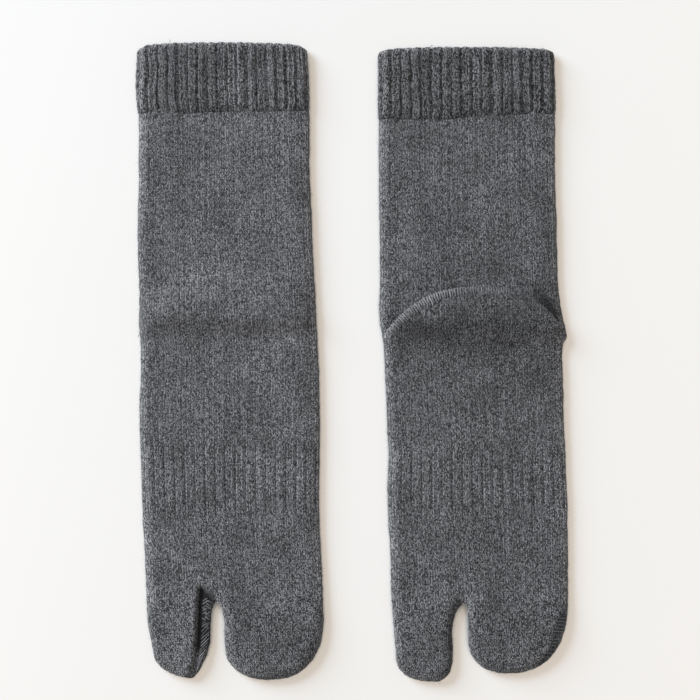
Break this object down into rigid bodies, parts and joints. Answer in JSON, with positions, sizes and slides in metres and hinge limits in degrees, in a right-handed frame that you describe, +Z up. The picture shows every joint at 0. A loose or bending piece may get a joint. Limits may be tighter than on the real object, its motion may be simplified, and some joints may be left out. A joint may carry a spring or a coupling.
{
  "type": "pair of tabi socks",
  "caption": "Pair of knitted split-toe tabi socks laid flat, one instep up and one sole up, with ribbed cuffs, folded heel pockets and a separate big toe on each.",
  "frame": {"origin": "middle of the pair's bounding box, on the surface that the socks lie on", "axes": "+X across the pair, from the left sock to the right sock; +Y along the socks, from the toes to the cuffs; +Z up from the surface"},
  "size_m": [0.224, 0.3318, 0.0087],
  "materials": {
    "marl_knit": "matte heather grey plain knit",
    "rib_knit": "matte heather grey ribbed knit"
  },
  "bodies": {
    "root": {"left_cuff": "rib_knit", "left_leg": "marl_knit", "left_heel_pocket": "marl_knit", "left_foot": "marl_knit", "left_big_toe": "marl_knit", "left_four_toes": "marl_knit", "right_cuff": "rib_knit", "right_leg": "marl_knit", "right_heel_pocket": "marl_knit", "right_foot": "marl_knit", "right_big_toe": "marl_knit", "right_four_toes": "marl_knit"}
  },
  "joints": []
}
